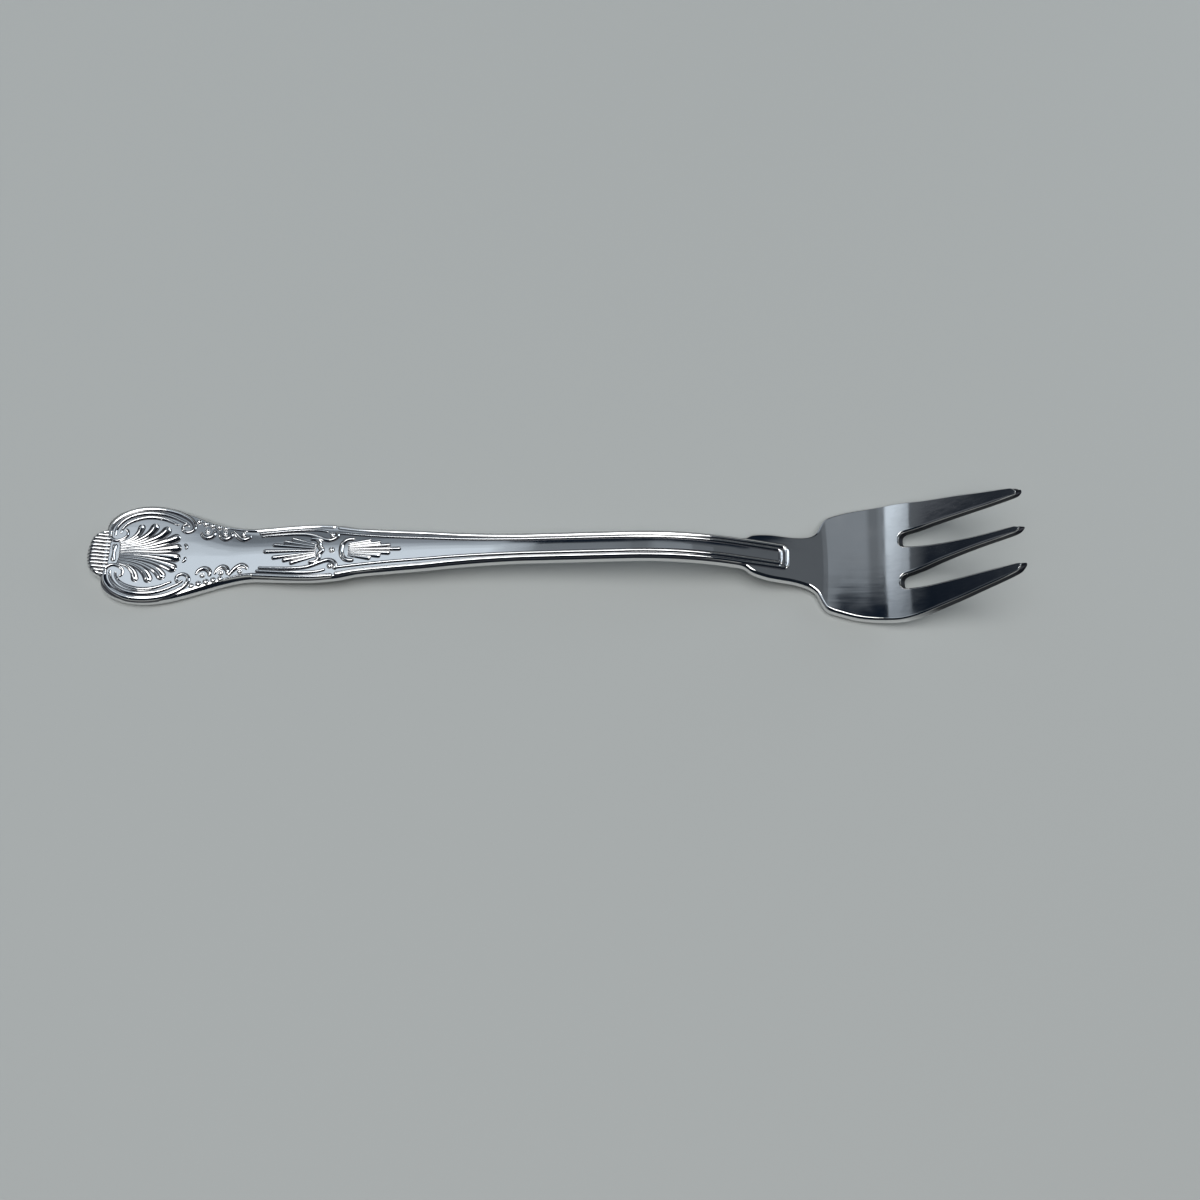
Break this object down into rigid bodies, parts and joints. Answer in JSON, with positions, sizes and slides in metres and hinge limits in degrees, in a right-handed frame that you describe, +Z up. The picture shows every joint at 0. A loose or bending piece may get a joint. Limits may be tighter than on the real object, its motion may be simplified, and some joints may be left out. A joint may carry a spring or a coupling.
{
  "type": "oyster fork",
  "caption": "Small stainless steel fork with wide tines, a slim arched stem and a handle with shell and scroll relief, lying on its back.",
  "frame": {"origin": "under the middle of the fork's length, on the table that it lies on", "axes": "+X from the heel of the handle to the tips of the tines, +Y across the fork to its left, +Z up"},
  "size_m": [0.1466, 0.0206, 0.0156],
  "materials": {
    "steel": "mirror polished stainless steel with faint wear",
    "relief": "mirror polished stainless steel, raised ornament"
  },
  "bodies": {
    "root": {"handle_end": "steel", "handle_waist": "steel", "stem": "steel", "neck": "steel", "head": "steel", "tine_left": "steel", "tine_middle": "steel", "tine_right": "steel", "heel_fluting": "relief", "shell": "relief", "scroll_left": "relief", "scroll_right": "relief", "leaf_spray_left": "relief", "leaf_spray_right": "relief", "waist_thread_left": "relief", "waist_thread_right": "relief", "lower_palmette": "relief", "bead": "relief", "upper_palmette": "relief", "stem_thread_outer": "relief", "stem_thread_inner": "relief"}
  },
  "joints": []
}
